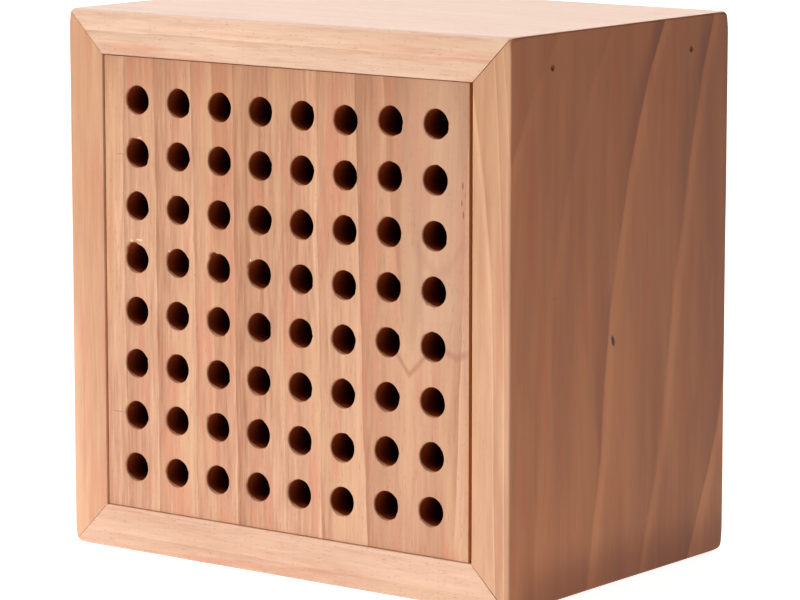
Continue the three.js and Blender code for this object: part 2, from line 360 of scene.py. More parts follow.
def brads():
    """(node, point on the surface, outward direction, length) of every brad and pin."""
    found = []
    for node in sorted(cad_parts):
        if node.startswith("corner_brad_top"):
            outward = Vector((1 if "right" in node else -1, 0, 0))
        elif node.startswith("corner_brad_bottom"):
            outward = Vector((0, 0, -1))
        elif node.startswith("panel_pin"):
            outward = REARWARD
        else:
            continue
        low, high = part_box(node)
        surface = (low + high) / 2
        axis = [abs(part) for part in outward].index(1)
        surface[axis] = (HIGH if outward[axis] > 0 else LOW)[axis]
        found.append((node, surface, outward, high[axis] - low[axis]))
    return found


def set_in(piece, surface, outward):
    """Turns a shape whose outer end faces +Y and puts its y = 0 on the surface."""
    turn = REARWARD.rotation_difference(outward).to_matrix().to_4x4()
    piece.data.transform(Matrix.Translation(surface) @ turn)
    return piece


def brad(name, length):
    top = -BRAD_SET_DEPTH
    tip = top - length
    head = BRAD_HEAD_RADIUS
    profile = [
        (0, tip), (BRAD_RADIUS * 0.3, tip + 0.4 * MM), (BRAD_RADIUS, tip + 2 * MM),
        (BRAD_RADIUS, top - 0.9 * MM), (head * 0.9, top - 0.5 * MM), (head, top - 0.35 * MM),
        (head, top - 0.1 * MM), (head * 0.85, top), (head * 0.4, top - 0.08 * MM),
        (0, top - 0.12 * MM),
    ]
    return lathe(name, profile)


def brad_hole(length):
    tip = -BRAD_SET_DEPTH - length - 0.3 * MM
    throat = BRAD_RADIUS + 0.12 * MM
    shoulder = -BRAD_SET_DEPTH - 1.1 * MM
    profile = [
        (0, tip), (throat, tip + 2 * MM), (throat, shoulder), (BRAD_HOLE_RADIUS, shoulder),
        (BRAD_HOLE_RADIUS, -0.25 * MM), (BRAD_HOLE_RADIUS * 1.25, 0.02 * MM),
        (BRAD_HOLE_RADIUS * 1.25, CUTTER_PROUD), (0, CUTTER_PROUD),
    ]
    return lathe("brad_hole", profile)


# ---- nesting block

def tunnel_centre(row, column):
    """Row 0 is at the foot and column 0 at the left, as in the frame's solids."""
    middle = (TUNNELS - 1) / 2
    lean = GRID_LEAN * (row - middle) / (TUNNELS - 1)
    x = GRID_CENTRE_X + (column - middle) * TUNNEL_PITCH_ACROSS + lean
    z = GRID_CENTRE_Z + (row - middle) * TUNNEL_PITCH_UP
    x += COLUMN_SHIFT[column] * MM
    z += COLUMN_RISE[column] * MM
    return x, z


# Tear-outs at the mouth: (row from the foot, column, direction in degrees, size in mm)
TEAR_OUTS = [
    (6, 0, 120, 0.6), (4, 0, 108, 0.8), (4, 0, 135, 0.9), (4, 2, 122, 1.0), (4, 3, 145, 0.6),
    (4, 1, 150, 0.4), (1, 2, 140, 0.5), (7, 6, -40, 0.4), (3, 3, -30, 0.3), (5, 4, 95, 0.3),
    (6, 0, -42, 0.35), (1, 0, 165, 0.3), (7, 0, 165, 0.25), (3, 2, 155, 0.3), (0, 4, 150, 0.3),
]


# Pale splinters beside them: (row, column, mm across and up from the tunnel's centre, half sizes)
SPLINTERS = [
    (4, 0, 0.9, 5.3, (1.5, 0.35)), (4, 0, -1.9, 4.9, (0.7, 0.3)), (4, 3, -3.1, 3.3, (0.3, 0.8)),
    (6, 0, 0.9, 4.3, (0.9, 0.25)), (4, 1, -3.0, 3.1, (0.35, 0.5)),
]


def mouth_growth(row, column, angle, chips):
    """How far the mouth is torn out beyond the drill's radius in this direction, in metres."""
    growth = 0.04 + 0.03 * math.sin(3 * angle + row * 2.1 + column)
    for direction, width, size in chips:
        off = math.remainder(angle - direction, 2 * math.pi) / width
        growth += size * math.exp(-off ** 4)
    return growth * MM


def mouth_chips(row, column, draw):
    """(direction, width, size) of what the drill tore out of one mouth."""
    chips = [(draw.uniform(-math.pi, math.pi), draw.uniform(0.08, 0.3), draw.uniform(0.03, 0.22))
             for _ in range(draw.randint(2, 4))]
    torn = [(math.radians(degrees), 0.3, size) for r, c, degrees, size in TEAR_OUTS
            if (r, c) == (row, column)]
    return chips + torn


def cell_edges(low, high, centre, pitch):
    """The edges of the cells round the tunnels along one axis, with the margins outside."""
    inner = [centre + (i - TUNNELS / 2) * pitch for i in range(TUNNELS + 1)]
    return [low, *inner, high]


def rim_shares():
    """Where a cell's side has its points, so that they're evenly spaced seen from its middle."""
    per_side = RIM_POINTS // 4
    return [0.5 + 0.5 * math.tan(math.radians(-45 + 90 * i / per_side)) for i in range(per_side)]


# The mouth's rings from the face inward: (mm beyond the bore, plus this share of the growth,
# mm deep, plus this share of the growth, whether the face before it is the tunnel's wall)
MOUTH_RINGS = [
    (0.9, 1.0, 0, 0, False), (0.12, 1.0, 0, 0, False), (0.02, 1.0, 0.07, 0, False),
    (0, 0.8, 0.12, 0.3, True), (0, 0.3, 0.25, 1.0, True), (0, 0, 0.5, 1.8, True),
]
WALL_RING_DEPTHS = [4.5 * MM, 8 * MM, 14 * MM, 24 * MM, 40 * MM, 60 * MM]
BORE_WOBBLE = 0.03 * MM


class BlockMesh:
    """The drilled block, built as cells round the tunnels with their walls, no booleans."""

    def __init__(self):
        self.points = []
        self.faces = []
        self.wall_faces = set()
        self.known = {}

    def point(self, x, y, z, shared=True):
        key = (round(x / MM, 4), round(y / MM, 4), round(z / MM, 4))
        if shared and key in self.known:
            return self.known[key]
        self.points.append((x, y, z))
        if shared:
            self.known[key] = len(self.points) - 1
        return len(self.points) - 1

    def band(self, outer, inner, wall=False):
        count = len(outer)
        for i in range(count):
            j = (i + 1) % count
            if wall:
                self.wall_faces.add(len(self.faces))
            self.faces.append([outer[i], outer[j], inner[j], inner[i]])

    def ring(self, previous, centre, angles, radii, depths, wall):
        """Joins a ring of points round a tunnel's axis to the previous one."""
        made = []
        for angle, radius, depth in zip(angles, radii, depths):
            made.append(self.point(centre[0] + radius * math.cos(angle), BLOCK_LOW.y + depth,
                                   centre[1] + radius * math.sin(angle), shared=False))
        self.band(previous, made, wall)
        return made

    def cell(self, row, column, left, right, bottom, top, draw):
        """The square of the front round one tunnel, with the tunnel."""
        shares = rim_shares()
        width, height = right - left, top - bottom
        rim = [(left + width * s, bottom) for s in shares]
        rim += [(right, bottom + height * s) for s in shares]
        rim += [(right - width * s, top) for s in shares]
        rim += [(left, top - height * s) for s in shares]
        centre = tunnel_centre(row, column)
        angles = [math.atan2(z - centre[1], x - centre[0]) for x, z in rim]
        chips = mouth_chips(row, column, draw)
        growth = [mouth_growth(row, column, angle, chips) for angle in angles]
        previous = [self.point(x, BLOCK_LOW.y, z) for x, z in rim]
        for beyond, share, deep, deep_share, wall in MOUTH_RINGS:
            radii = [TUNNEL_RADIUS + beyond * MM + share * torn for torn in growth]
            depths = [deep * MM + deep_share * torn for torn in growth]
            previous = self.ring(previous, centre, angles, radii, depths, wall)
        for depth in WALL_RING_DEPTHS:
            wobble = draw.uniform(-1, 1) * BORE_WOBBLE
            radii = [TUNNEL_RADIUS + wobble * math.sin(2 * angle) for angle in angles]
            previous = self.ring(previous, centre, angles, radii, [depth] * RIM_POINTS, True)
        for radius, depth in ((TUNNEL_RADIUS, TUNNEL_DEPTH - 0.2 * MM),
                              (TUNNEL_RADIUS - TUNNEL_END_EASE, TUNNEL_DEPTH)):
            previous = self.ring(previous, centre, angles, [radius] * RIM_POINTS,
                                 [depth] * RIM_POINTS, True)
        tip_y = BLOCK_LOW.y + TUNNEL_DEPTH + TUNNEL_END_TIP
        tip = self.point(centre[0], tip_y, centre[1], shared=False)
        for i in range(RIM_POINTS):
            self.wall_faces.add(len(self.faces))
            self.faces.append([previous[i], previous[(i + 1) % RIM_POINTS], tip])

    def shell(self, xs, zs):
        """Front margins, sides and rear round the cells."""
        shares = rim_shares()

        def fine(edges):
            places = [edges[0]]
            for a, b in zip(edges[1:-1], edges[2:-1]):
                places += [a + (b - a) * s for s in shares]
            return places + [edges[-2], edges[-1]]

        fx, fz = fine(xs), fine(zs)
        front, rear, ease = BLOCK_LOW.y, BLOCK_HIGH.y, BLOCK_EDGE_EASE

        def lattice(i, j, y):
            return self.point(fx[i], y, fz[j])

        for i in range(len(fx) - 1):
            for j in range(len(fz) - 1):
                in_x = xs[1] - TINY <= fx[i] and fx[i + 1] <= xs[-2] + TINY
                in_z = zs[1] - TINY <= fz[j] and fz[j + 1] <= zs[-2] + TINY
                if not (in_x and in_z):
                    self.faces.append([lattice(i, j, front), lattice(i + 1, j, front),
                                       lattice(i + 1, j + 1, front), lattice(i, j + 1, front)])
        edge = [(i, 0) for i in range(len(fx) - 1)]
        edge += [(len(fx) - 1, j) for j in range(len(fz) - 1)]
        edge += [(i, len(fz) - 1) for i in range(len(fx) - 1, 0, -1)]
        edge += [(0, j) for j in range(len(fz) - 1, 0, -1)]
        previous = [lattice(i, j, front) for i, j in edge]
        for out, y in ((0.7, front + 0.08 * MM), (1, front + ease), (1, rear - ease), (0, rear)):
            ring = []
            for i, j in edge:
                x, z = fx[i], fz[j]
                if i in (0, len(fx) - 1):
                    x += math.copysign(ease * out, x)
                if j in (0, len(fz) - 1):
                    z += math.copysign(ease * out, z - CENTRE_Z)
                ring.append(self.point(x, y, z))
            self.band(previous, ring)
            previous = ring
        self.faces.append(previous)


def nesting_block():
    draw = random.Random(11)
    ease = BLOCK_EDGE_EASE
    xs = cell_edges(BLOCK_LOW.x + ease, BLOCK_HIGH.x - ease, GRID_CENTRE_X, TUNNEL_PITCH_ACROSS)
    zs = cell_edges(BLOCK_LOW.z + ease, BLOCK_HIGH.z - ease, GRID_CENTRE_Z, TUNNEL_PITCH_UP)
    block = BlockMesh()
    for row in range(TUNNELS):
        for column in range(TUNNELS):
            block.cell(row, column, xs[column + 1], xs[column + 2], zs[row + 1], zs[row + 2], draw)
    block.shell(xs, zs)
    piece = new_object("nesting_block_wood", block.points, block.faces, BLOCK_SHARP_DEGREES)
    return piece, block.wall_faces


# ---- back panel and hanger

def rounded_outline(left, right, bottom, top, radius, steps=8):
    corners = [(right - radius, bottom + radius, -90), (right - radius, top - radius, 0),
               (left + radius, top - radius, 90), (left + radius, bottom + radius, 180)]
    outline = []
    for x, z, start in corners:
        for i in range(steps + 1):
            angle = math.radians(start + 90 * i / steps)
            outline.append((x + radius * math.cos(angle), z + radius * math.sin(angle)))
    return outline


def panel_board():
    points = [(x, y, z) for x in (PANEL_LOW.x, PANEL_HIGH.x) for y in (PANEL_LOW.y, PANEL_HIGH.y)
              for z in (PANEL_LOW.z, PANEL_HIGH.z)]
    faces = [(0, 1, 3, 2), (4, 6, 7, 5), (0, 4, 5, 1), (2, 3, 7, 6), (0, 2, 6, 4), (1, 5, 7, 3)]
    piece = new_object("back_panel_wood", points, faces)
    return ease_edges(piece, PANEL_EDGE_EASE, 3)


def hanger_recess():
    """The seat that the plate is let into, and under it room for the wall screw's head."""
    gap = PANEL_GAP
    outline = rounded_outline(PLATE_LOW.x - gap, PLATE_HIGH.x + gap, PLATE_LOW.z - gap,
                              PLATE_HIGH.z + gap, PLATE_CORNER_RADIUS + gap)
    seat = prism("hanger_seat", outline, PLATE_LOW.y - gap, HIGH.y + CUTTER_PROUD)
    outline = rounded_outline(-HEAD_POCKET_HALF_WIDTH, HEAD_POCKET_HALF_WIDTH,
                              PLATE_MIDDLE_Z - HEAD_POCKET_HALF_HEIGHT,
                              PLATE_MIDDLE_Z + HEAD_POCKET_HALF_HEIGHT, 3 * MM)
    pocket = prism("head_pocket", outline, HIGH.y - HEAD_POCKET_DEPTH, HIGH.y + CUTTER_PROUD)
    return [seat, pocket]


def keyhole_cutter():
    outline = []
    entry_z = PLATE_MIDDLE_Z - KEYHOLE_ENTRY_DROP
    neck = math.degrees(math.asin(KEYHOLE_SLOT_HALF / KEYHOLE_ENTRY_RADIUS))
    steps = 28
    for i in range(steps + 1):
        angle = math.radians(90 + neck + (360 - 2 * neck) * i / steps)
        outline.append((KEYHOLE_ENTRY_RADIUS * math.cos(angle),
                        entry_z + KEYHOLE_ENTRY_RADIUS * math.sin(angle)))
    slot_z = PLATE_MIDDLE_Z + KEYHOLE_SLOT_RISE - KEYHOLE_SLOT_HALF
    for i in range(13):
        angle = math.radians(180 * i / 12)
        outline.append((KEYHOLE_SLOT_HALF * math.cos(angle),
                        slot_z + KEYHOLE_SLOT_HALF * math.sin(angle)))
    return prism("keyhole", outline, HIGH.y - 5 * MM, HIGH.y + 2 * MM)


def screw_profile(gap, top):
    return [
        (0, -8 * MM - gap), (SCREW_RADIUS + gap, -6 * MM), (SCREW_RADIUS + gap, -1.2 * MM),
        (SCREW_HEAD_RADIUS + gap, -0.15 * MM), (SCREW_HEAD_RADIUS + gap, top), (0, top),
    ]


def screw_places():
    """Where the hanger's two screws are, by side."""
    return {side: Vector((sign * SCREW_SPREAD, HIGH.y, PLATE_MIDDLE_Z))
            for side, sign in (("left", -1), ("right", 1))}


def screw_holes():
    return [set_in(lathe("screw_hole", screw_profile(SCREW_GAP, CUTTER_PROUD)), at, REARWARD)
            for at in screw_places().values()]


def hanger_plate():
    outline = rounded_outline(PLATE_LOW.x, PLATE_HIGH.x, PLATE_LOW.z, PLATE_HIGH.z,
                              PLATE_CORNER_RADIUS)
    plate = prism("hanger_plate_steel", outline, PLATE_LOW.y, PLATE_HIGH.y)
    cut(plate, [keyhole_cutter(), *screw_holes()])
    ease_edges(plate, 0.2 * MM, 2)
    finish_mesh(plate.data, 30)
    return plate


def hanger_screw(name, at):
    """A countersunk screw with a cross recess, which has come to rest a little askew."""
    piece = lathe(name, screw_profile(0, 0))
    reach, half, deep = 1.4 * MM, 0.28 * MM, 0.9 * MM
    cutters = []
    for turn in (20, 110):
        arm = prism("recess", [(-reach, -half), (reach, -half), (reach, half), (-reach, half)],
                    -deep, CUTTER_PROUD)
        arm.data.transform(Matrix.Rotation(math.radians(turn), 4, "Y"))
        cutters.append(arm)
    cut(piece, cutters)
    return set_in(piece, at, REARWARD)


# ---- materials

def srgb(red, green, blue):
    """Linear colour of an 8-bit display colour."""
    return tuple(
        c / 12.92 if c <= 0.04045 else ((c + 0.055) / 1.055) ** 2.4
        for c in (red / 255, green / 255, blue / 255)
    ) + (1,)


class Graph:
    """A node material, written as expressions."""

    def __init__(self, name):
        self.material = bpy.data.materials.new(name)
        self.material.use_nodes = True
        self.tree = self.material.node_tree
        self.shader = self.tree.nodes["Principled BSDF"]

    def node(self, kind, **settings):
        made = self.tree.nodes.new(kind)
        for key, value in settings.items():
            setattr(made, key, value)
        return made

    def feed(self, socket, value):
        if isinstance(value, bpy.types.NodeSocket):
            self.tree.links.new(value, socket)
        else:
            socket.default_value = value

    def math(self, operation, *values, clamp=False):
        made = self.node("ShaderNodeMath", operation=operation, use_clamp=clamp)
        for socket, value in zip(made.inputs, values):
            self.feed(socket, value)
        return made.outputs[0]

    def add(self, *values):
        total = values[0]
        for value in values[1:]:
            total = self.math("ADD", total, value)
        return total

    def times(self, a, b):
        return self.math("MULTIPLY", a, b)

    def minus(self, a, b):
        return self.math("SUBTRACT", a, b)

    def place_mm(self):
        """The point's place in the row frame at rest, in millimetres: x, y, z sockets."""
        place = self.node("ShaderNodeTexCoord").outputs["Object"]
        split = self.node("ShaderNodeSeparateXYZ")
        self.feed(split.inputs[0], place)
        return [self.times(split.outputs[i], 1000.0) for i in range(3)]

    def vector(self, x, y, z):
        made = self.node("ShaderNodeCombineXYZ")
        for socket, value in zip(made.inputs, (x, y, z)):
            self.feed(socket, value)
        return made.outputs[0]

    def noise(self, vector, scale=1.0, detail=2.0, roughness=0.5):
        made = self.node("ShaderNodeTexNoise")
        self.feed(made.inputs["Vector"], vector)
        made.inputs["Scale"].default_value = scale
        made.inputs["Detail"].default_value = detail
        made.inputs["Roughness"].default_value = roughness
        return made.outputs["Fac"]

    def random(self, value):
        made = self.node("ShaderNodeTexWhiteNoise", noise_dimensions="1D")
        self.feed(made.inputs["W"], value)
        return made.outputs["Value"]

    def cells(self, vector):
        """(distance to the nearest cell point, a random colour of that cell)."""
        made = self.node("ShaderNodeTexVoronoi")
        self.feed(made.inputs["Vector"], vector)
        made.inputs["Scale"].default_value = 1.0
        return made.outputs["Distance"], made.outputs["Color"]

    def span(self, value, low, high, to_low=0.0, to_high=1.0, smooth=True):
        made = self.node("ShaderNodeMapRange")
        made.interpolation_type = "SMOOTHSTEP" if smooth else "LINEAR"
        for socket, given in zip(made.inputs, (value, low, high, to_low, to_high)):
            self.feed(socket, given)
        return made.outputs[0]

    def ramp(self, value, stops):
        made = self.node("ShaderNodeValToRGB")
        self.feed(made.inputs[0], value)
        elements = made.color_ramp.elements
        while len(elements) < len(stops):
            elements.new(0.5)
        for element, (place, colour) in zip(elements, stops):
            element.position = place
            element.color = colour if isinstance(colour, tuple) else (colour, colour, colour, 1)
        return made.outputs[0]

    def curve(self, value, low, high, stops):
        """A function of value drawn through the listed points, which runs from low to high."""
        made = self.node("ShaderNodeFloatCurve")
        self.feed(made.inputs["Value"], self.span(value, low, high, smooth=False))
        points = made.mapping.curves[0].points
        while len(points) < len(stops):
            points.new(0.5, 0.5)
        for point, (place, result) in zip(points, stops):
            point.location = ((place - low) / (high - low), result)
            point.handle_type = "VECTOR"
        made.mapping.update()
        return made.outputs[0]

    def mix(self, factor, a, b, blend="MIX"):
        made = self.node("ShaderNodeMix", data_type="RGBA", blend_type=blend)
        self.feed(made.inputs[0], factor)
        self.feed(made.inputs[6], a)
        self.feed(made.inputs[7], b)
        return made.outputs[2]

    def bump(self, height, distance, strength=1.0):
        made = self.node("ShaderNodeBump")
        made.inputs["Strength"].default_value = strength
        made.inputs["Distance"].default_value = distance
        self.feed(made.inputs["Height"], height)
        self.feed(self.shader.inputs["Normal"], made.outputs[0])


def rings_of_block(g, place, bend):
    """Growth rings round a pith 20 mm in front of the right half of the block.

    They run nearly straight down the left half and close over each other on the right."""
    x, y, z = place
    depth = g.add(y, 20.0 - BLOCK_LOW.y / MM, g.times(g.minus(z, 60.0), -0.03))
    across = g.add(x, -43.0, g.times(bend, 0.35))
    distance = g.math("SQRT", g.add(g.times(across, across), g.times(depth, depth)))
    count = g.curve(distance, 0.0, 130.0, [
        (0, 0.02), (20, 0.1), (25.6, 0.2), (36.5, 0.3), (47.4, 0.4), (62.8, 0.5), (69.9, 0.6),
        (76.7, 0.7), (89.8, 0.8), (100.7, 0.9), (130, 1.0)])
    return g.times(count, 10.0)


def rings_flat_sawn(g, place, bend):
    """Rings nearly parallel to the right side's face, running out of it in long flames."""
    x, y, z = place
    height = g.minus(z, CENTRE_Z / MM)
    run_out = g.times(g.curve(z, 0.0, 150.0, [
        (0, 0.355), (10, 0.37), (35, 0.415), (56, 0.432), (75, 0.457), (93, 0.498), (111, 0.545),
        (135, 0.63), (150, 0.705)]), 100.0)
    spacing = g.minus(30.0, g.times(g.times(height, height), 0.001))
    along_face = g.minus(g.add(y, -LOW.y / MM, g.times(bend, 0.5)), run_out)
    depth = g.minus(HIGH.x / MM, x)
    buried = g.add(g.times(g.math("MINIMUM", depth, 5.8), 5.9), g.times(depth, 2.5))
    return g.math("DIVIDE", g.add(along_face, buried), spacing)


def plain_behind(g, place, count):
    """The right side's rings are faint on its front and over the first part of its face."""
    behind = g.minus(place[1], LOW.y / MM)
    plain_face = g.times(g.span(behind, 2.0, 14.0), g.span(count, -0.4, -0.05, -0.45, 0.3))
    return g.add(plain_face, 0.7)


def even_right(g, place):
    """The block is more even where its face runs along the rings, on the right."""
    return g.span(place[0], 12.0, 40.0, 1.0, 0.5)


def rings_upright(spacing, slope):
    def rings(g, place, bend):
        x, y = place[:2]
        return g.times(g.add(x, g.times(y, slope), g.times(bend, 0.4)), 1 / spacing)
    return rings


def rings_level(spacing, start, slope):
    def rings(g, place, bend):
        y, z = place[1:]
        behind = g.times(g.minus(y, LOW.y / MM), slope)
        return g.times(g.add(z, -start, behind, g.times(bend, 0.15)), 1 / spacing)
    return rings


def stretched(g, along, first, second, long_scale, cross_scale):
    """A place squeezed along the fibres, so that what is drawn in it is drawn out along them."""
    return g.vector(g.times(along, long_scale), g.times(first, cross_scale),
                    g.times(second, cross_scale))


def dashes(g, place, share, outside, inside):
    """Short dark lines along the fibres, the ends of rays and open pores: 0 to 1.

    share is how many of the cells have one. It fades out from the distance inside to outside."""
    near, which = g.cells(place)
    pick = g.node("ShaderNodeSeparateColor")
    g.feed(pick.inputs[0], which)
    kept = g.span(pick.outputs[0], 1 - share, 1 - share + 0.05)
    strength = g.span(pick.outputs[1], 0.0, 1.0, 0.35, 1.0)
    return g.times(g.times(g.span(near, outside, inside), kept), strength)


def spot(g, first, second, at, half, soft=0.6):
    """1 in the middle of an ellipse in the plane of two axes, fading to 0 at its edge."""
    across = g.times(g.minus(first, at[0]), 1 / half[0])
    up = g.times(g.minus(second, at[1]), 1 / half[1])
    distance = g.math("SQRT", g.add(g.times(across, across), g.times(up, up)))
    return g.span(distance, 1 - soft, 1.0, 1.0, 0.0)


LINE_FOOT, LINE_RISE = 50.0, 50.0  # in mm, where drawn lines start and how far up they reach


def drawn_line(g, place, bend, stops, half):
    """A soft line on the front through (x, z) places: 1 along its middle, 0 beyond half."""
    x, _, z = place
    heights = [(at, (height - LINE_FOOT) / LINE_RISE) for at, height in stops]
    level = g.curve(x, stops[0][0], stops[-1][0], heights)
    off = g.math("ABSOLUTE", g.add(g.minus(z, LINE_FOOT), g.times(level, -LINE_RISE),
                                   g.times(bend, 0.3)))
    ends = g.times(g.span(x, stops[0][0], stops[0][0] + 2.0),
                   g.span(x, stops[-1][0] - 2.0, stops[-1][0], 1.0, 0.2))
    return g.times(g.span(off, 0.1, half, 1.0, 0.0), ends)


# Thin dark marks on the block: (x, z in mm, half sizes, strength)
NICKS = [
    (59.6, 111.0, (0.35, 1.3), 1.0), (59.3, 106.5, (0.3, 1.0), 1.0), (59.8, 103.5, (0.3, 1.4), 1.0),
    (-58.5, 38.8, (3.4, 0.22), 0.6), (-57.0, 110.8, (2.2, 0.2), 0.6),
]


def block_figure(g, place, bend, count, colour):
    """The block's own marks: a red band, the V where a ring runs out, smudges, nicks, painted shade
    under the top board and in the gap along its right edge, and the pale splinters at its mouths."""
    x, y, z = place
    across = g.add(x, g.times(bend, 0.3))
    red = g.times(g.span(across, -25.0, -23.5), g.span(across, -21.0, -14.0, 1.0, 0.0))
    red = g.times(red, g.span(g.add(z, g.times(bend, 6.0)), 70.0, 125.0, 0.1, 0.42))
    colour = g.mix(red, colour, srgb(176, 98, 62))
    v_line = drawn_line(g, place, bend, [
        (36.5, 68.0), (38.5, 65.0), (42.3, 60.0), (45.8, 63.5), (48.5, 66.5), (53.5, 67.5),
        (57.5, 66.0), (62.0, 67.5)], 1.7)
    u_line = drawn_line(g, place, bend, [
        (43.0, 97.0), (46.0, 92.0), (51.5, 87.0), (56.0, 90.0), (59.0, 95.0), (62.0, 96.0)], 3.2)
    smudge = g.add(g.times(v_line, 0.6), g.times(u_line, 0.35))
    colour = g.mix(smudge, colour, srgb(160, 92, 66))
    # Painted shade: the block darkens toward its top, where the top board shades it.
    colour = g.mix(g.span(z, 124.0, 138.0, 0.0, 0.6), colour,
                   g.mix(1.0, colour, srgb(236, 226, 216), "MULTIPLY"))
    grey = g.times(g.span(x, 34.0, 46.0), g.span(z, 55.0, 80.0))
    colour = g.mix(g.times(grey, 0.35), colour, srgb(196, 158, 132))
    nicks = g.add(*(g.times(spot(g, x, z, (at_x, at_z), half), strength)
                    for at_x, at_z, half, strength in NICKS))
    colour = g.mix(g.times(nicks, 0.7), colour, srgb(96, 58, 38))
    # Painted shade: the block's right face by the front is darkened where the gap shades it.
    painted_gap_shade = g.times(g.span(x, BLOCK_HIGH.x / MM - 0.15, BLOCK_HIGH.x / MM - 0.05),
                    g.span(y, BLOCK_LOW.y / MM + 1.0, BLOCK_LOW.y / MM + 3.0, 1.0, 0.0))
    colour = g.mix(painted_gap_shade, colour, srgb(172, 98, 36))
    for row, column, across, up, half in SPLINTERS:
        centre_x, centre_z = tunnel_centre(row, column)
        at = (centre_x / MM + across, centre_z / MM + up)
        colour = g.mix(g.times(spot(g, x, z, at, half), 0.75), colour, srgb(246, 214, 182))
    return colour


def right_side_figure(g, place, bend, count, colour):
    """The right side's outer face: painted shade darker to the rear, toward its top and along its
    foot, rings with darker late wood near the top, a pin knot and a smudge."""
    x, y, z = place
    front = LOW.y / MM
    behind = g.minus(y, front)
    shade_and_rings = colour
    # Painted shade: the face darkens toward its rear and toward its top, where less light falls on
    # it.
    for place_on, low, high, at_low, at_high in (
            (behind, 0.0, 100.0, srgb(229, 189, 150), srgb(209, 172, 138)),
            (z, 10.0, 140.0, srgb(255, 255, 255), srgb(240, 232, 222))):
        painted_shade_tint = g.mix(g.span(place_on, low, high, smooth=False), at_low, at_high)
        shade_and_rings = g.mix(1.0, shade_and_rings, painted_shade_tint, "MULTIPLY")
    late = g.times(g.span(g.math("FRACT", count), 0.72, 0.97), g.span(z, 95.0, 138.0, 0.0, 0.5))
    late = g.times(late, g.span(count, -0.6, -0.3))
    shade_and_rings = g.mix(late, shade_and_rings, g.mix(1.0, shade_and_rings, srgb(196, 176, 170), "MULTIPLY"))
    # Painted shade: a darker strip along the foot, where the floor meets the face.
    foot = g.times(g.span(z, 3.0, 16.0, 0.7, 0.0), g.span(behind, 1.0, 14.0))
    shade_and_rings = g.mix(foot, shade_and_rings, g.mix(1.0, shade_and_rings, srgb(206, 184, 158), "MULTIPLY"))
    outer = g.times(g.span(behind, 0.05, 0.7), g.span(x, HIGH.x / MM - 0.9, HIGH.x / MM - 0.3))
    colour = g.mix(outer, colour, shade_and_rings)
    knot_z = 66.0
    leaning = g.add(y, g.times(g.minus(z, knot_z), 0.25))
    knot = spot(g, leaning, z, (front + 47.0, knot_z), (1.0, 2.1))
    smear = spot(g, y, z, (front + 20.0, 80.7), (2.2, 0.9), 0.9)
    colour = g.mix(g.times(smear, 0.25), colour, srgb(110, 70, 50))
    return g.mix(knot, colour, srgb(46, 16, 8))


def top_painted_sheen(g, place, bend, count, colour):
    """The top board's upper face, made paler and greyer as a painted sheen."""
    upper = g.span(place[2], HIGH.z / MM - 0.7, HIGH.z / MM - 0.2, 0.0, 0.65)
    return g.mix(upper, colour, srgb(211, 178, 160))


def plain_figure(g, place, bend, count, colour):
    """No marks of its own."""
    return colour


# How light a ring is from its inner boundary to its outer one: (share of the ring, lightness)
LIGHT_FIRST = [(0.0, 0.86), (0.06, 0.80), (0.30, 0.56), (0.75, 0.42), (0.93, 0.18), (0.985, 0.06),
               (1.0, 0.8)]
NARROW_LIGHT = [(0.0, 0.55), (0.025, 0.94), (0.08, 1.0), (0.16, 0.64), (0.25, 0.53), (0.75, 0.46),
                (0.93, 0.36), (0.985, 0.30), (1.0, 0.55)]


def painted_light_at_the_foot(g, z, colour):
    """Painted light: upright wood is made paler and pinker toward its foot, standing in for light
    from the floor.
    """
    paler = [g.span(z, 10.0, 140.0, foot, top, smooth=False)
             for foot, top in ((1.08, 0.845), (1.13, 0.825), (1.20, 0.775))]
    return g.mix(1.0, colour, g.vector(*paler), "MULTIPLY")


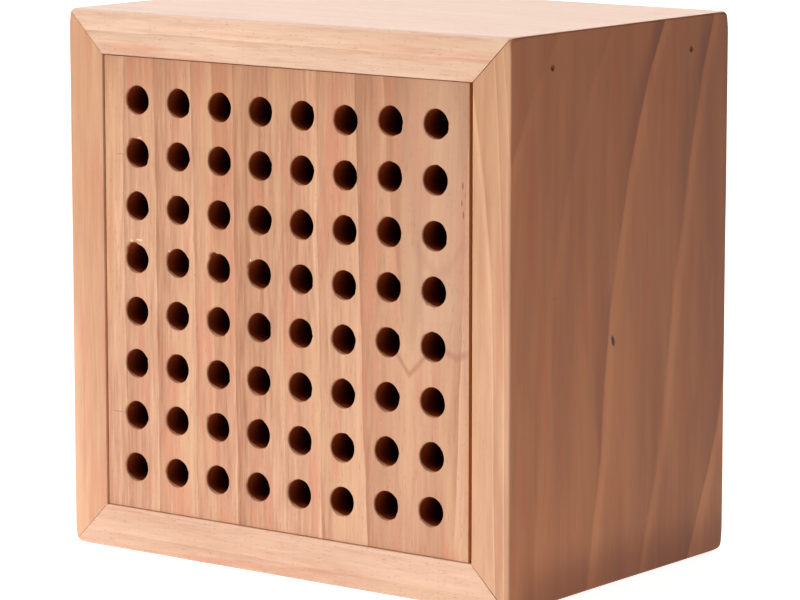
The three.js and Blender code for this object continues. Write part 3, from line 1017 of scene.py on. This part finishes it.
def beech(name, grain, rings, light, dark, ring=0.5, ring_shade=LIGHT_FIRST, bend_by=1.0,
          plainness=None, evenness=None, broad=1.0, streak=1.0, fibre=1.0, hue=1.0,
          fleck=1.0, fleck_share=0.3, rough=0.6, figure=plain_figure):
    """Bare beech, as the parts that finish_beech joins.

    grain is the axis along its fibres, and light and dark are its palest and darkest colours.
    rings(g, place, bend) counts its growth rings, and plainness(g, place, count) is how plainly
    they show; evenness(g, place) is how strongly the rest of the grain does.
    figure(g, place, bend, count, colour) adds the marks that only this piece has."""
    g = Graph(name)
    place = g.place_mm()
    axes = dict(zip("xyz", place))
    along = axes.pop(grain)
    first, second = axes.values()

    def drawn_out(long_scale, cross_scale):
        return stretched(g, along, first, second, long_scale, cross_scale)

    def field(long_scale, cross_scale, detail=3.0, roughness=0.55):
        return g.minus(g.noise(drawn_out(long_scale, cross_scale), 1.0, detail, roughness), 0.5)

    bend = g.times(g.add(g.times(field(0.012, 0.045), 13.0), g.times(field(0.09, 0.16), 4.0),
                         g.times(field(0.35, 0.6), 1.2)), bend_by)
    count = rings(g, place, bend)
    shade = g.ramp(g.math("FRACT", count), ring_shade)
    ring_part = g.times(g.minus(shade, 0.5), ring)
    each = g.times(g.minus(g.random(g.math("FLOOR", count)), 0.5), ring * 0.35)
    if plainness:
        plain = plainness(g, place, count)
        ring_part = g.times(ring_part, plain)
        each = g.times(each, plain)

    wide = field(0.010, 0.11, 2.0)
    streaks = field(0.06, 0.85, 3.0, 0.5)
    fibres = field(0.16, 3.4, 3.0, 0.6)
    grain_part = g.add(g.times(wide, 1.1 * broad), g.times(streaks, 1.2 * streak),
                       g.times(fibres, 0.7 * fibre))
    if evenness:
        grain_part = g.times(grain_part, evenness(g, place))
    tone = g.math("ADD", g.add(0.5, ring_part, each, grain_part), 0.0, clamp=True)
    colour = g.mix(tone, dark, light)

    tan = g.span(field(0.016, 0.15, 2.0), 0.0, 0.16, 0.0, 0.45 * hue)
    colour = g.mix(tan, colour, g.mix(0.5, light, srgb(184, 142, 96)))
    pink = g.span(field(0.021, 0.21, 3.0), 0.02, 0.18, 0.0, 0.45 * hue)
    colour = g.mix(pink, colour, srgb(196, 124, 93))
    colour = figure(g, place, bend, count, colour)
    # Painted light on the upright boards and the block: paler toward the foot.
    if grain == "z":
        colour = painted_light_at_the_foot(g, place[2], colour)

    long_dashes = dashes(g, drawn_out(0.2, 1.7), fleck_share, 0.32, 0.08)
    short_dashes = dashes(g, drawn_out(0.55, 2.3), fleck_share, 0.34, 0.08)
    marks = g.times(g.add(long_dashes, short_dashes), 0.36 * fleck)
    return g, colour, marks, fibres, streaks, rough


def top_wood():
    return beech("beech_top", "x", rings_level(6.0, 144.2, 0.02), srgb(220, 184, 158),
                 srgb(180, 139, 112), ring=0.45, streak=0.6, fleck=1.3, fleck_share=0.3,
                 figure=top_painted_sheen)


def bottom_wood():
    return beech("beech_bottom", "x", rings_level(7.0, 4.0, 0.05), srgb(231, 192, 166),
                 srgb(195, 148, 120), ring=0.25, streak=0.6, fleck=1.3, fleck_share=0.4)


def left_wood():
    return beech("beech_left", "z", rings_upright(4.3, 0.3), srgb(221, 170, 134),
                 srgb(185, 132, 97), ring=0.3, streak=0.6, fibre=0.6, fleck=0.7,
                 fleck_share=0.15)


def right_wood():
    return beech("beech_right", "z", rings_flat_sawn, srgb(216, 165, 129), srgb(161, 111, 77),
                 ring=0.95, ring_shade=NARROW_LIGHT, bend_by=0.35, plainness=plain_behind,
                 streak=0.45, fibre=0.4, fleck=0.6, fleck_share=0.25, figure=right_side_figure)


def panel_wood():
    return beech("beech_panel", "z", rings_upright(11.0, 0.9), srgb(222, 174, 142),
                 srgb(186, 132, 100), rough=0.7)


def block_wood(name):
    return beech(name, "z", rings_of_block, srgb(216, 167, 132), srgb(156, 98, 66), ring=0.55,
                 bend_by=0.7, broad=0.8, streak=0.9, evenness=even_right, fibre=0.8, hue=1.3,
                 fleck=1.2, fleck_share=0.4, figure=block_figure)


def finish_beech(parts, shine=0.5):
    """Joins beech's parts to the shader. shine is the strength of the specular reflection."""
    g, colour, marks, fibres, streaks, rough = parts
    colour = g.mix(marks, colour, srgb(140, 84, 56))
    g.feed(g.shader.inputs["Base Color"], colour)
    grain = g.add(fibres, streaks)
    g.feed(g.shader.inputs["Roughness"],
           g.span(grain, -0.3, 0.3, rough - 0.07, rough + 0.08, smooth=False))
    g.shader.inputs["Specular IOR Level"].default_value = shine
    g.bump(g.add(g.times(fibres, 0.8), g.times(streaks, 0.5), g.times(marks, -0.6)), 0.1 * MM)
    return g.material


def tunnel_wall_painted_shade(parts):
    """The block's wood in the tunnels, with painted shade: dark and darker inward, but painted
    lighter along the lower wall by the mouth, where light from above falls.
    """
    g, colour, marks, fibres, streaks, rough = parts
    behind = g.minus(g.place_mm()[1], BLOCK_LOW.y / MM)
    split = g.node("ShaderNodeSeparateXYZ")
    g.feed(split.inputs[0], g.node("ShaderNodeTexCoord").outputs["Normal"])
    # Painted light: the upward-facing lower wall by the mouth is kept lighter.
    lit_lower_wall = g.span(split.outputs[2], 0.45, 0.95, 0.0, 0.9)
    colour = g.mix(g.span(g.minus(behind, lit_lower_wall), 0.1, 0.9), colour, srgb(128, 50, 18))
    # Painted shade: the wall goes nearly black a few mm in.
    colour = g.mix(g.span(behind, 1.0, 9.0), colour, srgb(51, 11, 2))
    return finish_beech((g, colour, marks, fibres, streaks, 0.8), 0.05)


def steel(name, colour, rust, roughness):
    """Dull steel, browned in blotches; rust is how strongly."""
    g = Graph(name)
    place = g.vector(*g.place_mm())
    blotch = g.noise(place, 0.8, 4.0, 0.6)
    grain = g.noise(place, 6.0, 2.0, 0.5)
    g.feed(g.shader.inputs["Base Color"],
           g.mix(g.span(blotch, 0.42, 0.62, 0.0, rust), colour, srgb(84, 44, 26)))
    g.shader.inputs["Metallic"].default_value = 1.0
    g.feed(g.shader.inputs["Roughness"],
           g.span(g.add(blotch, g.times(grain, 0.5)), 0.4, 1.1, roughness - 0.1, roughness + 0.15))
    g.bump(g.add(grain, blotch), 0.03 * MM)
    return g.material


# ---- the object

def reaches(surface, outward, length, low, high, margin=0.5 * MM):
    """Whether a brad driven in from the surface comes within a margin of the box."""
    tip = surface - outward * length
    return all(min(surface[i], tip[i]) < high[i] + margin
               and max(surface[i], tip[i]) > low[i] - margin for i in range(3))


def build_case(fasteners):
    boards = case_boards()
    for name, piece in boards.items():
        low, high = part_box(name)
        holes = [set_in(brad_hole(length), surface, outward)
                 for _, surface, outward, length in fasteners
                 if reaches(surface, outward, length, low, high)]
        cut(piece, holes, BOARD_SHARP_DEGREES)
    woods = {"top_board": top_wood, "bottom_board": bottom_wood, "left_side_board": left_wood,
             "right_side_board": right_wood}
    for name, piece in boards.items():
        install(piece, "case", name, finish_beech(woods[name]()))


def build_block():
    """The block; its tunnels' walls show its second material."""
    block, wall_faces = nesting_block()
    install(block, "nesting_block", "nesting_block",
            finish_beech(block_wood("beech_block")))
    block.data.materials.append(tunnel_wall_painted_shade(block_wood("beech_tunnel_wall")))
    for index in wall_faces:
        block.data.polygons[index].material_index = 1


def build_rear(fasteners):
    """The back panel, the hanger and all the brads and pins."""
    panel = panel_board()
    pin_holes = [set_in(brad_hole(length), surface, outward)
                 for node, surface, outward, length in fasteners if node.startswith("panel_pin")]
    cut(panel, [*hanger_recess(), *pin_holes, *screw_holes()])
    install(panel, "case", "back_panel", finish_beech(panel_wood()))

    zinc = steel("zinc_plate", srgb(196, 200, 205), 0.08, 0.38)
    install(hanger_plate(), "case", "hanger_plate", zinc)
    for side, at in screw_places().items():
        node = f"hanger_screw_{side}"
        install(hanger_screw(f"{node}_steel", at), "case", node, zinc)

    dull = steel("brad_steel", srgb(62, 46, 38), 0.8, 0.65)
    for node, surface, outward, length in fasteners:
        piece = set_in(brad(f"{node}_steel", length), surface, outward)
        install(piece, "case", node, dull)


# ---- stage

def build_floor():
    """A sheet of white paper that glows a little, so that it shows no shadow."""
    side = 6.0
    points = [(-side, -side, 0), (side, -side, 0), (side, side, 0), (-side, side, 0)]
    floor = new_object("floor", points, [(0, 1, 2, 3)])
    floor.location.z = LOW.z - 0.05 * MM
    g = Graph("floor_paper")
    g.shader.inputs["Base Color"].default_value = (0.55, 0.56, 0.57, 1)
    g.shader.inputs["Roughness"].default_value = 0.9
    g.shader.inputs["Emission Color"].default_value = (1, 1, 1, 1)
    g.shader.inputs["Emission Strength"].default_value = 0.78
    floor.data.materials.append(g.material)


def area_light(name, at, aim, size, power, colour):
    data = bpy.data.lights.new(name, "AREA")
    data.shape = "RECTANGLE"
    data.size, data.size_y = size
    data.energy = power
    data.color = colour
    lamp = bpy.data.objects.new(name, data)
    lamp.location = at
    lamp.rotation_euler = (Vector(aim) - Vector(at)).to_track_quat("-Z", "Y").to_euler()
    bpy.context.scene.collection.objects.link(lamp)


def build_light():
    centre = (0, 0, 0.075)
    area_light("key", (-0.9, -1.7, 1.2), centre, (0.9, 0.9), 37.5, (1, 0.99, 0.98))
    area_light("top", (0.0, 0.1, 2.4), (0, 0.1, 0), (3.2, 3.2), 54, (1, 1, 1))
    area_light("back", (-1.9, 2.5, 0.9), centre, (3.0, 1.4), 54, (1, 1, 1))
    world = bpy.data.worlds.new("studio")
    world.use_nodes = True
    background = world.node_tree.nodes["Background"]
    background.inputs["Color"].default_value = (1, 0.7, 0.5, 1)
    background.inputs["Strength"].default_value = 0.06
    bpy.context.scene.world = world


def build_camera():
    azimuth, elevation = math.radians(CAMERA_AZIMUTH), math.radians(CAMERA_ELEVATION)
    away = Vector((math.sin(azimuth) * math.cos(elevation),
                   -math.cos(azimuth) * math.cos(elevation), math.sin(elevation)))
    data = bpy.data.cameras.new("camera")
    data.lens = CAMERA_LENS_MM
    data.sensor_width = 36
    data.clip_start = 0.05
    camera = bpy.data.objects.new("camera", data)
    camera.location = CAMERA_TARGET + away * CAMERA_DISTANCE
    camera.rotation_euler = (-away).to_track_quat("-Z", "Y").to_euler()
    bpy.context.scene.collection.objects.link(camera)
    bpy.context.scene.camera = camera


build_camera()
fasteners = brads()
build_case(fasteners)
build_block()
build_rear(fasteners)
build_floor()
build_light()
bpy.context.scene.view_settings.view_transform = "Standard"
